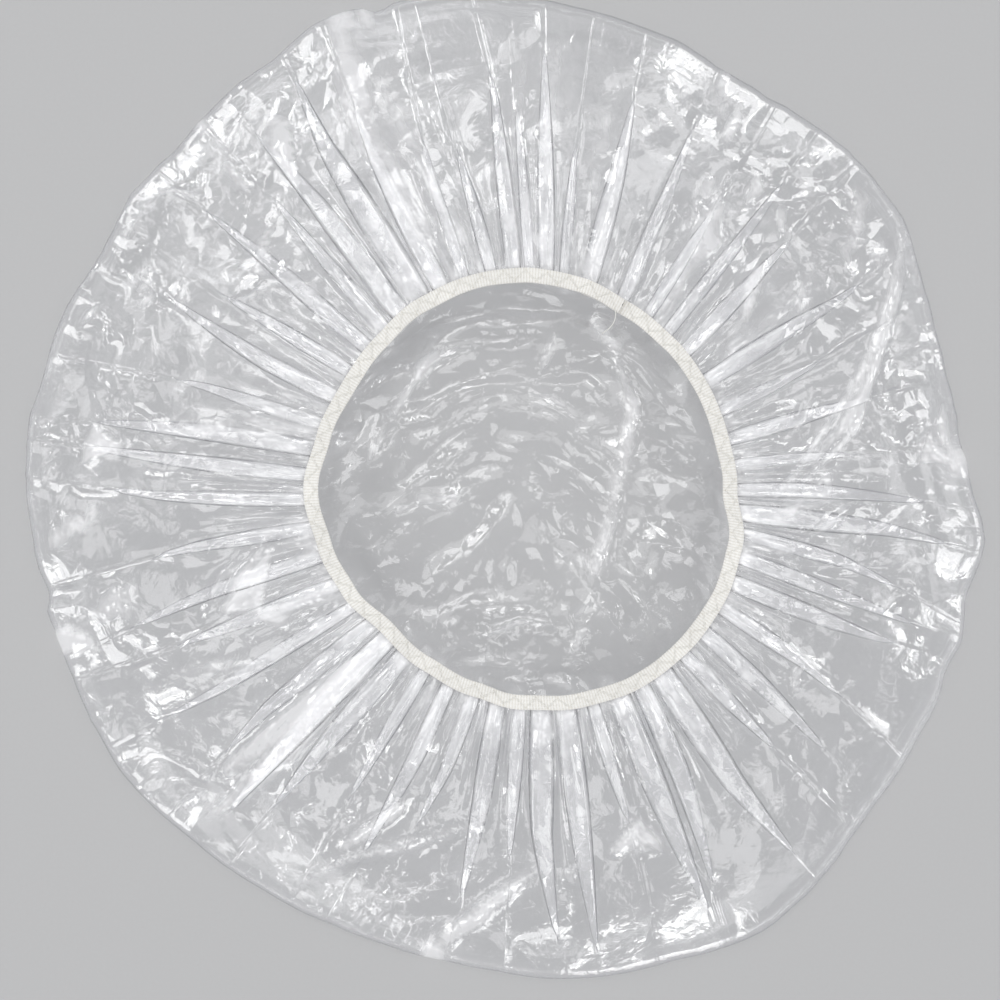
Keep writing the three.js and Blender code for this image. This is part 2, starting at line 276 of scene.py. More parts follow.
# Creases of the crown with a painted highlight: half-width in millimetres, how white the highlight
# shows, points
CROWN_GLINTS = (
    (2.6, 0.8, 640, 394, 630, 430, 623, 455), (2.2, 0.7, 624, 450, 616, 484, 609, 520),
    (2.4, 0.8, 610, 515, 600, 552, 592, 576), (1.3, 0.5, 583, 598, 580, 636, 574, 672),
    (2.4, 0.5, 590, 314, 604, 330, 622, 354), (1.5, 0.8, 438, 350, 412, 386, 389, 420),
    (1.2, 0.5, 396, 426, 372, 448, 368, 468), (1.1, 0.4, 411, 453, 392, 482),
    (1.3, 0.6, 558, 333, 544, 360), (2, 0.4, 462, 488, 447, 518),
)
# Bundles of several layers that lie together, in the same way; their white is partly the layers'
# own haze and partly a painted highlight
BUNDLES = (
    (6.5, 0.42, 219, 778, 260, 740, 310, 700, 371, 648, 398, 632),
    (1.5, 0.7, 206, 779, 245, 748, 292, 712, 345, 668),
    (1.5, 0.7, 220, 808, 250, 774, 292, 734, 335, 694, 368, 662),
    (1.2, 0.5, 262, 748, 300, 712, 352, 656), (3.6, 0.4, 208, 815, 275, 765, 334, 712),
    (6, 0.55, 335, 8, 352, 70, 372, 140, 420, 215, 460, 272),
    (3.6, 0.3, 372, 60, 405, 130, 450, 215, 478, 270), (4.4, 0.34, 270, 118, 285, 150, 300, 186),
    (5, 0.34, 224, 612, 240, 585, 269, 541),
    (2.6, 0.35, 905, 238, 890, 310, 866, 380, 838, 432, 790, 480),
    (1.2, 0.85, 904, 234, 881, 325, 857, 376, 830, 418, 795, 470, 768, 500),
    (1.2, 0.75, 911, 250, 887, 331, 866, 388, 853, 428, 828, 456, 785, 496),
    (2.2, 0.7, 857, 410, 850, 434), (1.7, 0.45, 602, 12, 594, 74),
    (1.5, 0.4, 637, 147, 668, 110, 706, 68), (1.7, 0.5, 707, 158, 730, 130, 750, 94),
    (1.9, 0.5, 718, 118, 723, 70), (2.2, 0.5, 608, 852, 624, 834, 638, 816),
    (1.7, 0.5, 152, 268, 148, 288, 153, 312), (1.5, 0.35, 184, 264, 184, 330),
    (1.6, 0.5, 284, 202, 272, 232, 262, 262), (1.9, 0.45, 38, 551, 75, 528, 114, 503),
    (1.5, 0.35, 141, 193, 175, 190, 207, 200), (2.2, 0.3, 293, 884, 360, 852, 420, 838, 486, 815),
    (5.4, 0.36, 423, 956, 480, 908, 534, 864), (1.5, 0.6, 428, 954, 478, 914, 532, 868),
    (2.6, 0.75, 339, 847, 402, 801), (3.4, 0.14, 552, 22, 547, 60, 541, 130, 536, 215),
    (2.6, 0.16, 566, 14, 570, 70, 566, 150), (3, 0.12, 516, 50, 512, 130, 507, 215),
    (3.2, 0.14, 622, 88, 608, 150, 590, 225), (4, 0.18, 716, 190, 690, 250, 655, 300),
    (3, 0.22, 96, 424, 121, 448, 88, 462), (4.5, 0.18, 100, 600, 125, 585, 145, 620),
    (4, 0.34, 60, 628, 90, 642, 102, 664), (3, 0.2, 330, 18, 362, 26),
    (3.4, 0.26, 210, 160, 235, 130, 262, 102), (2.6, 0.24, 205, 112, 228, 90),
    (4, 0.3, 700, 218, 712, 245, 690, 258), (2.6, 0.26, 745, 215, 758, 172),
    (3.2, 0.24, 850, 245, 858, 206), (2.6, 0.26, 735, 325, 752, 268),
    (2.4, 0.24, 800, 320, 812, 268), (4, 0.45, 940, 430, 955, 465, 962, 410),
    (3.4, 0.4, 866, 395, 852, 428, 838, 445), (3.6, 0.34, 722, 186, 704, 230, 688, 262),
    (2.4, 0.4, 268, 116, 282, 148, 299, 184), (2.8, 0.32, 560, 30, 552, 120, 545, 200),
    (2.4, 0.28, 527, 35, 520, 120, 512, 190), (2.8, 0.3, 612, 70, 604, 140, 586, 230),
    (3, 0.2, 768, 512, 800, 500, 835, 490), (2.2, 0.45, 660, 850, 632, 815),
    (2.6, 0.2, 150, 690, 200, 665, 260, 655), (5, 0.22, 345, 430, 290, 432, 235, 425, 130, 446),
    (4, 0.14, 330, 470, 240, 478, 110, 470), (9, 0.26, 532, 270, 530, 236, 520, 196),
    (5, 0.26, 424, 292, 404, 252, 380, 190), (5, 0.24, 474, 276, 458, 240, 446, 205),
    (5, 0.22, 360, 572, 300, 606, 250, 634), (4, 0.24, 440, 690, 432, 730, 412, 795),
    (4, 0.24, 744, 522, 800, 498, 850, 452), (4, 0.2, 706, 366, 748, 330, 800, 300),
    (4.6, 0.24, 660, 312, 704, 250, 728, 190), (4.6, 0.2, 590, 284, 612, 190, 628, 110),
)
# Small facets that stand up and catch the light, each a triangle, then how white their painted
# highlight shows
FACETS = (
    (94, 420, 124, 446, 82, 466, 0.7), (267, 113, 289, 121, 299, 182, 0.8),
    (214, 160, 238, 169, 253, 193, 0.4), (276, 543, 265, 610, 224, 613, 0.7),
    (114, 586, 138, 617, 81, 624, 0.35), (50, 623, 98, 643, 77, 660, 0.8),
    (265, 315, 276, 320, 272, 336, 0.4), (142, 264, 153, 305, 147, 311, 0.5),
    (82, 307, 95, 303, 93, 320, 0.45), (52, 348, 57, 365, 43, 379, 0.45),
    (925, 430, 957, 467, 917, 460, 0.5), (943, 397, 953, 463, 935, 425, 0.4),
    (682, 202, 720, 248, 708, 255, 0.5), (697, 182, 722, 177, 700, 207, 0.4),
    (757, 167, 762, 193, 740, 213, 0.45), (773, 210, 787, 210, 777, 243, 0.45),
    (837, 253, 853, 240, 847, 277, 0.35), (867, 260, 883, 240, 880, 273, 0.35),
    (855, 190, 873, 200, 850, 240, 0.35), (742, 285, 760, 265, 743, 330, 0.4),
    (812, 257, 802, 300, 790, 320, 0.4), (633, 817, 660, 840, 610, 853, 0.45),
    (787, 673, 793, 697, 798, 660, 0.4), (402, 797, 408, 808, 340, 850, 0.55),
    (502, 888, 493, 917, 423, 957, 0.5), (37, 553, 64, 522, 118, 500, 0.45),
    (213, 789, 168, 810, 216, 797, 0.45), (332, 24, 350, 12, 347, 58, 0.4),
    (357, 10, 371, 8, 368, 62, 0.45), (334, 50, 358, 70, 372, 120, 0.7),
    (232, 90, 190, 128, 202, 134, 0.45), (281, 200, 268, 257, 262, 258, 0.45),
    (243, 268, 263, 262, 267, 278, 0.45), (243, 308, 284, 282, 250, 296, 0.4),
    (200, 430, 212, 432, 208, 446, 0.5), (768, 512, 800, 500, 790, 514, 0.4),
    (845, 540, 862, 528, 858, 545, 0.4), (955, 565, 970, 560, 960, 578, 0.45),
    (733, 118, 741, 124, 722, 146, 0.4), (530, 240, 548, 232, 540, 262, 0.4),
    (560, 868, 578, 858, 572, 884, 0.35), (180, 770, 198, 764, 186, 776, 0.4),
    (135, 212, 118, 240, 128, 236, 0.4),
)
# The crown's facets, in the same way, with a painted highlight
CROWN_FACETS = (
    (632, 395, 646, 403, 633, 411, 0.6), (606, 340, 622, 333, 619, 348, 0.5),
    (590, 317, 600, 312, 596, 322, 0.4), (548, 352, 556, 346, 546, 368, 0.4),
    (593, 568, 602, 560, 597, 580, 0.5), (618, 452, 630, 440, 626, 470, 0.4),
    (438, 352, 442, 360, 412, 395, 0.35), (386, 446, 400, 425, 394, 446, 0.3),
)


def to_mm(pixels):
    """Places in the photograph, x and y in turn, as points in millimetres."""
    across = [(px - CENTRE_X) * PIXEL for px in pixels[::2]]
    return list(zip(across, [(CENTRE_Y - py) * PIXEL for py in pixels[1::2]]))


def share_at(shares, angle):
    """Reads a closed table of shares at any angle, easing from one entry to the next."""
    table = np.asarray(shares, dtype=float)
    place = (np.asarray(angle) / (2 * np.pi)) % 1.0 * len(table)
    before = np.floor(place).astype(int) % len(table)
    after = (before + 1) % len(table)
    eased = (1 - np.cos(np.pi * (place - np.floor(place)))) / 2
    return table[before] * (1 - eased) + table[after] * eased


def mouth_xy(angle, outward):
    radius = MOUTH_RADIUS * share_at(MOUTH_SHARES, angle) + outward
    return MOUTH_X + radius * np.cos(angle), MOUTH_Y + radius * np.sin(angle)


def outline_xy(angle, inset):
    """A point on the rim, drawn in from it, with its corners eased a little."""
    corners = np.array(to_mm(RIM))
    turn = np.arctan2(corners[:, 1], corners[:, 0]) % (2 * np.pi)
    reach = np.hypot(corners[:, 0], corners[:, 1])
    order = np.argsort(turn)
    radius = 0
    for part in (-RIM_EASE, 0, RIM_EASE):
        radius += np.interp(angle + part, turn[order], reach[order], period=2 * np.pi) / 3
    radius -= inset
    return radius * np.cos(angle), radius * np.sin(angle)


def hash_unit(i, j, seed):
    """A steady pseudo-random number from 0 to 1 for each pair of whole numbers."""
    value = np.sin(i * 127.1 + j * 311.7 + seed * 74.7) * 43758.5453
    return value - np.floor(value)


def smooth_noise(x, y, size, seed):
    """Value noise from -1 to 1, smooth, with cells of the given size."""
    u, v = x / size, y / size
    i, j = np.floor(u), np.floor(v)
    fu, fv = u - i, v - j
    fu, fv = fu * fu * (3 - 2 * fu), fv * fv * (3 - 2 * fv)
    low = hash_unit(i, j, seed) * (1 - fu) + hash_unit(i + 1, j, seed) * fu
    high = hash_unit(i, j + 1, seed) * (1 - fu) + hash_unit(i + 1, j + 1, seed) * fu
    return (low * (1 - fv) + high * fv) * 2 - 1


def facet_noise(x, y, size, seed):
    """Crumpled film: flat three-cornered facets between random heights, from -1 to 1."""
    wx = x + 0.35 * size * smooth_noise(x, y, size * 0.9, seed + 11)
    wy = y + 0.35 * size * smooth_noise(x, y, size * 0.9, seed + 23)
    skew = (wx + wy) * 0.366025
    u, v = (wx + skew) / size, (wy + skew) / size
    i, j = np.floor(u), np.floor(v)
    fu, fv = u - i, v - j
    corner = hash_unit(i, j, seed)
    opposite = hash_unit(i + 1, j + 1, seed)
    side = np.where(fu > fv, hash_unit(i + 1, j, seed), hash_unit(i, j + 1, seed))
    large, small = np.maximum(fu, fv), np.minimum(fu, fv)
    return (corner * (1 - large) + side * (large - small) + opposite * small) * 2 - 1


def rim_nick(angle):
    """How far the rim stands in from the plain outline, in short straight runs between corners."""
    x, y = 150 * np.cos(angle), 150 * np.sin(angle)
    return 0.3 + 0.3 * facet_noise(x, y, 15, 51) + 0.25 * facet_noise(x, y, 6, 52)


def crumple(x, y, seed):
    """The film's crumpled height in millimetres, from facets of three sizes, in patches."""
    patch = np.clip(0.5 + 1.1 * smooth_noise(x, y, 46, seed + 5), 0, 1)
    return (
        0.7 * facet_noise(x, y, 27, seed)
        + (0.2 + patch) * 0.6 * facet_noise(x, y, 12, seed + 1)
        + (0.1 + patch) * 0.3 * facet_noise(x, y, 6, seed + 2)
    )


def near_points(x, y, points, margin):
    """Which places lie in the box of the points, widened by the margin."""
    xs, ys = zip(*points)
    return (
        (x > min(xs) - margin) & (x < max(xs) + margin)
        & (y > min(ys) - margin) & (y < max(ys) + margin)
    )


def crease_height(x, y, creases):
    """Sharp-crested ridges along lines: their height in millimetres, or how white they show, from
    layered haze and painted highlight.
    """
    height = np.zeros_like(x)
    for half, rise, *line in creases:
        points = to_mm(line)
        total = sum(math.dist(a, b) for a, b in zip(points, points[1:]))
        gone = 0.0
        best = np.zeros_like(x)
        for a, b in zip(points, points[1:]):
            length = math.dist(a, b)
            near = near_points(x, y, (a, b), half * 1.5)
            if near.any():
                ux, uy = (b[0] - a[0]) / length, (b[1] - a[1]) / length
                dx, dy = x[near] - a[0], y[near] - a[1]
                along = np.clip(dx * ux + dy * uy, 0, length)
                off = np.hypot(dx - along * ux, dy - along * uy)
                wide = half * (1 + 0.35 * np.sign(dx * uy - dy * ux))
                share = (gone + along) / total
                swell = np.clip(np.sin(np.pi * (0.06 + 0.88 * share)), 0, 1) ** 0.7
                tent = np.clip(1 - off / (wide * (0.35 + 0.65 * swell)), 0, 1) * swell
                best[near] = np.maximum(best[near], tent)
            gone += length
        height += rise * best
    return height


def raised_facets(x, y, facets):
    """Three-sided pyramids over triangles: height in millimetres, and how white a painted highlight
    shows on them.
    """
    height, milk_and_glint = np.zeros_like(x), np.zeros_like(x)
    for *corners, amount in facets:
        (ax, ay), (bx, by), (cx, cy) = corners = to_mm(corners)
        area = (bx - ax) * (cy - ay) - (cx - ax) * (by - ay)
        near = near_points(x, y, corners, 1)
        u, v = x[near], y[near]
        first = ((bx - u) * (cy - v) - (cx - u) * (by - v)) / area
        second = ((cx - u) * (ay - v) - (ax - u) * (cy - v)) / area
        inner = np.minimum(np.minimum(first, second), 1 - first - second)
        rise = min(1.1, 0.35 * math.sqrt(abs(area)))
        height[near] = np.maximum(height[near], rise * np.clip(3 * inner, 0, 1))
        glint = amount * np.clip(inner / 0.06, 0, 1) * (0.75 + 0.75 * inner)
        milk_and_glint[near] = np.maximum(milk_and_glint[near], glint)
    return height, milk_and_glint


# Meshes


def grid_faces(rows, columns, first=0):
    """Quads between the rows of closed rings of points."""
    r, c = np.meshgrid(np.arange(rows - 1), np.arange(columns), indexing="ij")
    here, beside = first + r * columns + c, first + r * columns + (c + 1) % columns
    return np.stack([here, beside, beside + columns, here + columns], 2).reshape(-1, 4).tolist()


def smooth_mesh(name, verts, faces):
    mesh = bpy.data.meshes.new(name)
    mesh.from_pydata((verts * MM).tolist(), [], faces)
    mesh.validate()
    mesh.polygons.foreach_set("use_smooth", [True] * len(mesh.polygons))
    mesh.update()
    return mesh


def set_points(mesh, name, values):
    """Stores a number or a vector on each point, for the material to read."""
    kind, field = ("FLOAT", "value") if values.ndim == 1 else ("FLOAT_VECTOR", "vector")
    data = mesh.attributes.new(name, kind, "POINT").data
    data.foreach_set(field, values.ravel().astype(np.float32))


# Film


def pleat_widths(reach, width, out):
    """How wide each pleat lies at each place out from the hem."""
    t = np.clip(out[:, None] / reach, 0, 1)
    return width * ((1 - t) ** 0.62 * (0.86 + 0.5 * np.sin(np.pi * t)))


def pleat_heights(turn, f):
    """Heights over a pleat's three layers and the plain film after it, as shares of its lift."""
    if turn > 0:
        return 0.25 * f, 0.25 + 0.6 * f, 1.0 - 0.35 * f, 0.65 * (1 - f) ** 2
    return 0.65 + 0.35 * f, 0.85 - 0.6 * f, 0.25 * (1 - f), 0.0


def skirt_columns(out):
    """Where each column of the film stands on each row: its angle round the mouth, its height above
    the plain skirt, its place on the flat film as a share of the way round, the flat film's radius,
    how many times too long the film is, and how far it is folded, which whitens it, with a painted
    highlight along each fold's edge."""
    table = np.array(PLEATS, dtype=float)
    centre = np.radians(table[:, 0])
    reach, width, lean = table[:, 1], table[:, 2], table[:, 3]
    pleats = len(table)
    rim_radius = OUTLINE_RADIUS - FOLD_RADIUS
    radius = MOUTH_RADIUS + (rim_radius - MOUTH_RADIUS) * out
    slant = math.hypot(rim_radius - MOUTH_RADIUS, MOUTH_HEIGHT - 2 * FOLD_RADIUS)
    flat_radius = rim_radius + math.pi * FOLD_RADIUS + slant * (1 - out)
    spare = 2 * np.pi * (flat_radius - radius)
    w = pleat_widths(reach, width, out)
    w *= np.minimum(1, 0.96 * spare / np.maximum(2 * w.sum(1), 1e-6))[:, None]
    folded = np.clip((w - LEAST_LAYER) / FOLDS_BY, 0, 1)
    layer = np.maximum(w, LEAST_LAYER)
    middle = np.where(folded > 0, layer * (1 - 2 * folded), layer)
    number = np.arange(pleats)
    sway = 0.09 * (hash_unit(number, 1, 3) - 0.5)
    kink = 0.16 * (hash_unit(number, 2, 3) - 0.5)
    knee = 0.25 + 0.4 * hash_unit(number, 3, 3)
    wander = sway * out[:, None] + kink * np.maximum(0, out[:, None] - knee)
    middle_angle = centre + wander
    half = (2 * layer + middle) / 2 / radius[:, None]
    # Neighbours that would cross are pushed apart
    for _ in range(PLEAT_SPREADS):
        gap = np.roll(middle_angle - half, -1, 1) - (middle_angle + half)
        gap[:, -1] += 2 * np.pi
        short = np.maximum(0, PLEAT_GAP / radius[:, None] - gap) / 2
        middle_angle = middle_angle - short + np.roll(short, 1, 1)
    angles, flats, heights, folded_and_edge_glint = [], [], [], []
    for k in range(pleats):
        start = middle_angle[:, k] - half[:, k]
        end = middle_angle[:, k] + half[:, k]
        nxt = (k + 1) % pleats
        following = middle_angle[:, nxt] - half[:, nxt] + (2 * np.pi if nxt == 0 else 0)
        step, back = layer[:, k] / radius, middle[:, k] / radius
        lift = PLEAT_LIFT * folded[:, k] * np.clip(w[:, k] / 4, 0, 1.3)
        turned = np.maximum(np.abs(middle[:, k]), 0.3 * layer[:, k])
        base = np.maximum(following - end, 0) * radius
        for part, (origin, sweep, size) in enumerate((
            (start, step, layer[:, k]), (start + step, back, turned),
            (start + step + back, step, layer[:, k]), (end, following - end, base),
        )):
            count = BASE_COLUMNS if part == 3 else LAYER_COLUMNS
            for n in range(count):
                f = n / count
                angles.append(origin + sweep * f)
                flats.append(size / count)
                heights.append(lift * pleat_heights(lean[k], f)[part])
                # Painted highlight: the first column of each fold's edge shows whiter
                edge = EDGE_GLINT if n == 0 and part in (1, 2) else 1.0
                folded_and_edge_glint.append(folded[:, k] * (0.0 if part == 3 else edge))
        if lean[k] < 0:
            # The plain film before this pleat rises up to its raised edge
            first = len(heights) - 3 * LAYER_COLUMNS - BASE_COLUMNS
            for n in range(1, BASE_COLUMNS):
                rising = lift * 0.65 * (1 - n / BASE_COLUMNS) ** 2
                heights[first - n] = np.maximum(heights[first - n], rising)
    angles, flats, heights, folded_and_edge_glint = (np.stack(v, 1) for v in (angles, flats, heights, folded_and_edge_glint))
    around = flats.sum(1)
    place = np.cumsum(flats, 1) / around[:, None]
    return angles, heights, place, flat_radius, 2 * np.pi * flat_radius / around, folded_and_edge_glint


def repeat_ends(values):
    """The skirt's values with its first row repeated for the hem and its last for the fold."""
    return np.concatenate([np.repeat(values[:1], HEM_ROWS, 0), values,
                           np.repeat(values[-1:], FOLD_ROWS, 0)])


def build_film():
    """Points of the hem, skirt and fold in rows, then the crown's, and what each point shows."""
    rows_out = np.linspace(0, 1, SKIRT_ROWS) ** 1.15
    angles, heights, place, flat_radius, ratio, folded_and_edge_glint = skirt_columns(rows_out)
    out = rows_out[:, None]
    inner_x, inner_y = mouth_xy(angles, BAND_WIDTH / 2 + HEM_MARGIN)
    outer_x, outer_y = outline_xy(angles, FOLD_RADIUS + rim_nick(angles))
    x = inner_x * (1 - out) + outer_x * out
    y = inner_y * (1 - out) + outer_y * out
    z = MOUTH_HEIGHT * (1 - out) + FOLD_TOP * out + SKIRT_PUFF * 4 * out * (1 - out)
    rise = np.clip(out / 0.07, 0, 1)
    z = z - HEM_SINK + heights * (HEM_SHARE + (1 - HEM_SHARE) * rise)
    # Short gathers that stand up beside the hem and die away further out
    number = np.arange(angles.shape[1])
    strength = np.sqrt(np.clip(ratio - 1.0, 0, None))
    reach = 0.1 + 0.5 * hash_unit(np.floor(number / 5), 0, 9) ** 2
    wave = np.sin(2 * np.pi * number / 5 + 2.5 * smooth_noise(number, 0, 17, 4))
    fade = np.clip(1 - out / (reach + 0.15), 0, 1) ** 0.8 * (0.1 + 0.9 * rise)
    z += GATHER_HEIGHT * wave * strength[:, None] * fade
    close = np.sin(2 * np.pi * number / 3 + 4 * smooth_noise(number, 0, 7, 14))
    z += PUCKER_HEIGHT * close * np.exp(-out / 0.12) * (0.1 + 0.9 * rise)
    ripple = smooth_noise(number, 3 * out, 4.5, 15)
    z += RIPPLE_HEIGHT * ripple * np.clip(1.25 - out, 0, 1) * rise
    # Crumples, on the flat film, and then what the photograph shows in one place only
    cosine, sine = np.cos(2 * np.pi * place), np.sin(2 * np.pi * place)
    flat_x, flat_y = flat_radius[:, None] * cosine, flat_radius[:, None] * sine
    rough = share_at(CRUMPLE_SHARES, np.arctan2(y, x))
    settled = rise * np.clip((1 - out) / 0.05, 0.25, 1)
    z += CRUMPLE_HEIGHT * rough * crumple(flat_x, flat_y, 7) * settled
    crests = crease_height(x, y, CREASES)
    raised, glint = raised_facets(x, y, FACETS)
    z += (crests + raised) * rise
    # How milky the film shows: where it is gathered, folded, creased or bundled; part of the white
    # at fold edges, creases, raised facets and bundles is painted highlight
    patch = np.clip(0.5 + 0.9 * smooth_noise(flat_x, flat_y, 30, 61), 0, 1)
    strand = np.clip(0.5 + 0.75 * smooth_noise(number, 22 * out, 1.7, 64), 0, 1.2)
    milk_and_glint = 0.07 + 0.05 * patch * rough + 0.62 * strand * np.exp(-out / 0.15)
    milk_and_glint += (0.06 + 0.07 * strand) * folded_and_edge_glint
    # Painted highlight along the crests of creases, partly their own whitening, and on the raised
    # facets
    milk_and_glint += 0.3 * np.clip(crests / 1.2, 0, 1) ** 2 + 1.4 * glint
    streaks = 0.5 + 0.7 * strand + 0.5 * smooth_noise(flat_x, flat_y, 3.1, 63)
    milk_and_glint += 1.3 * crease_height(x, y, BUNDLES) * streaks
    # Where the facets of the material lie and how far they tip
    loose = np.clip(0.22 + 1.7 * smooth_noise(flat_x, flat_y, 26, 225), 0, 1)
    tipping = np.clip(0.14 + 0.9 * rough ** 1.4 * loose + 0.2 * np.exp(-out / 0.2), 0, 1.2)
    for px, py, wide in CALM:
        [(calm_x, calm_y)] = to_mm((px, py))
        off = np.hypot(x - calm_x, y - calm_y) / wide
        tipping *= 1 - 0.8 * np.exp(-off ** 2)
    tipping += 0.4 * np.clip(crests / 1.2, 0, 1)
    lie = np.stack([
        FACET_TURNS * cosine, FACET_TURNS * sine,
        (flat_radius[:, None] + 6 * smooth_noise(flat_x, flat_y, 23, 66)) / FACET_LENGTH,
    ], 2)
    hem = []
    for n in range(HEM_ROWS):
        reach_in = HEM_SETBACK - BAND_WIDTH / 2
        reach_in += (BAND_WIDTH + HEM_MARGIN - HEM_SETBACK) * n / HEM_ROWS
        hem.append(np.stack([*mouth_xy(angles[0], reach_in), z[0]], 1))
    fold = []
    for n in range(1, FOLD_ROWS + 1):
        tilt = math.pi / 2 - math.pi * n / FOLD_ROWS
        inset = FOLD_RADIUS * (1 - math.cos(tilt) ** FOLD_BULGE) + rim_nick(angles[-1])
        height = FOLD_FLOOR + (z[-1] - FOLD_FLOOR) * 0.5 * (1 + math.sin(tilt))
        fold.append(np.stack([*outline_xy(angles[-1], inset), height], 1))
    grid = np.concatenate([np.stack(hem), np.stack([x, y, z], 2), np.stack(fold)])
    milk_and_glint = repeat_ends(milk_and_glint)
    # Painted highlight along the fold
    milk_and_glint[-FOLD_ROWS:] += RIM_GLINT[:, None] * share_at(RIM_GLINT_SHARES, angles[-1])
    # The crown's rings are close together inside the mouth, where the film shows best
    rim_angle = angles[-1][::CROWN_EVERY]
    rim_x, rim_y = outline_xy(rim_angle, FOLD_RADIUS + rim_nick(rim_angle))
    share = np.concatenate([
        1 - 0.5 * np.arange(1, CROWN_RIM_ROWS + 1) / CROWN_RIM_ROWS,
        0.5 * (1 - np.arange(1, CROWN_MOUTH_ROWS + 1) / (CROWN_MOUTH_ROWS + 0.6)),
    ])[:, None]
    return grid, rim_x * share, rim_y * share, milk_and_glint, repeat_ends(lie), repeat_ends(tipping)


def film_mesh():
    grid, cx, cy, milk_and_glint, lie, tipping = build_film()
    rows, columns = grid.shape[:2]
    # Crown's height: it lies on the floor, crumpled, and calmer under the skirt
    warp = 9 * smooth_noise(cx, cy, 38, 41) + 2.6 * smooth_noise(cx, cy, 12, 42)
    bow = np.hypot(cx - ARC_X, cy - ARC_Y) + warp
    sweep = np.arctan2(cy - ARC_Y, cx - ARC_X)
    arcs = (1 - np.abs(np.sin(np.pi * bow / ARC_PITCH))) ** 2.0
    arcs *= np.clip(0.4 + 1.3 * smooth_noise(cx * 0.8, cy, 17, 43), 0, 1)
    bands = facet_noise(sweep * ARC_REACH / 3.0, bow, 6.4, 71)
    veins = np.clip(1 - 3.0 * np.abs(smooth_noise(cx + warp, cy - warp, 11, 44)), 0, 1) ** 1.3
    veins *= np.clip(0.35 + 1.2 * smooth_noise(cx, cy, 14, 45), 0, 1)
    beyond = np.hypot(cx - MOUTH_X, cy - MOUTH_Y) - MOUTH_RADIUS
    open_part = 1 - CALM_SHARE * np.clip(beyond / 12, 0, 1)
    lift = 0.5 * crumple(cx, cy, 31) + 1.2 * arcs + 1.0 * veins
    lift = CROWN_REST + (lift + 0.5 * smooth_noise(cx, cy, 9, 47) + 0.9 * bands) * open_part
    crests = crease_height(cx, cy, CROWN_CREASES)
    raised, glint = raised_facets(cx, cy, CROWN_FACETS)
    lift += crests + raised
    edge = np.clip(np.arange(1, CROWN_ROWS + 1) / 4, 0, 1)[:, None]
    rim_z = grid[-1, ::CROWN_EVERY, 2]
    cz = rim_z * (1 - edge) + np.maximum(lift, LEAST_HEIGHT) * edge
    crown = np.stack([cx, cy, np.maximum(LEAST_HEIGHT, cz)], 2)
    middle = np.array([[0.0, 0.0, crown[-1, :, 2].mean()]])
    # The crown has one column for every few of the skirt's
    faces = grid_faces(rows, columns)
    base = rows * columns
    rim = (rows - 1) * columns
    around = columns // CROWN_EVERY
    for k in range(around):
        outer = [rim + (k * CROWN_EVERY + n) % columns for n in range(CROWN_EVERY + 1)]
        near, far = base + k, base + (k + 1) % around
        half = CROWN_EVERY // 2
        for n in range(half):
            faces.append([outer[n], outer[n + 1], near])
        faces.append([outer[half], far, near])
        for n in range(half, CROWN_EVERY):
            faces.append([outer[n], outer[n + 1], far])
    faces += grid_faces(CROWN_ROWS, around, base)
    last = base + (CROWN_ROWS - 1) * around
    pole = base + CROWN_ROWS * around
    faces += [[last + k, last + (k + 1) % around, pole] for k in range(around)]
    verts = np.concatenate([grid.reshape(-1, 3), crown.reshape(-1, 3), middle])
    mesh = smooth_mesh("film", verts, faces)
    # The crown's own haze, with painted sheen along its arcs and veins and painted highlight on its
    # creases, facets and shining creases
    crown_milk_and_glint = 0.05 + 0.1 * arcs + 0.07 * veins + 0.6 * np.clip(crests / 1.1, 0, 1) ** 2
    crown_milk_and_glint += 0.02 * smooth_noise(cx, cy, 14, 62) + glint
    crinkle = 0.95 + 0.7 * smooth_noise(cx, cy, 2.2, 65)
    crown_milk_and_glint += crease_height(cx, cy, CROWN_GLINTS) * crinkle
    crown_lie = np.stack([
        CROWN_FACET_TURNS * np.cos(sweep), CROWN_FACET_TURNS * np.sin(sweep),
        bow / CROWN_FACET_LENGTH,
    ], 2)
    crown_tipping = np.clip(0.35 + 0.35 * smooth_noise(cx, cy, 26, 68), 0.1, 0.8)
    crown_tipping *= np.clip(bow / 75, 0.3, 1)
    crown_tipping = crown_tipping * open_part + 1.3 * np.clip(crests / 0.8, 0, 1)
    set_points(mesh, "milk_and_glint", np.concatenate([
        milk_and_glint.ravel(), crown_milk_and_glint.ravel(), [crown_milk_and_glint[-1].mean()],
    ]))
    set_points(mesh, "tipping", np.concatenate([
        tipping.ravel(), crown_tipping.ravel(), crown_tipping[-1, :1],
    ]))
    set_points(mesh, "lie", np.concatenate([
        lie.reshape(-1, 3), crown_lie.reshape(-1, 3), crown_lie[-1, :1],
    ]))
    return mesh


# Band, its rubber threads and its stitch


def strip_angle(step):
    return LAP_START - 2 * np.pi * step / (RING_STEPS - LAP_STEPS)


def strip_lift(step):
    """The strip's last steps climb onto its first ones."""
    ramp = np.clip((step - (RING_STEPS - LAP_STEPS - RAMP_STEPS)) / RAMP_STEPS, 0, 1)
    return (BAND_THICKNESS + LAP_CLEARANCE) * ramp * ramp * (3 - 2 * ramp)


def strip_length():
    """The strip's steps, closely spaced, and how far along it each stands in millimetres."""
    steps = np.linspace(0, RING_STEPS, 40 * RING_STEPS + 1)
    x, y = mouth_xy(strip_angle(steps), 0)
    return steps, np.concatenate([[0], np.cumsum(np.hypot(np.diff(x), np.diff(y)))])


def strip_lean(along):
    """How far the strip wanders to the side, in millimetres."""
    lean = 0.18 * smooth_noise(along, 0, 19, 72)
    return lean + 0.1 * smooth_noise(along, 0, 7, 73)


def stitch_turns():
    steps = np.arange(STITCH_START, RING_STEPS, 1 / TURNS_PER_STEP)
    return steps, STITCH_REACH * np.where(np.arange(len(steps)) % 2 == 0, 1, -1)


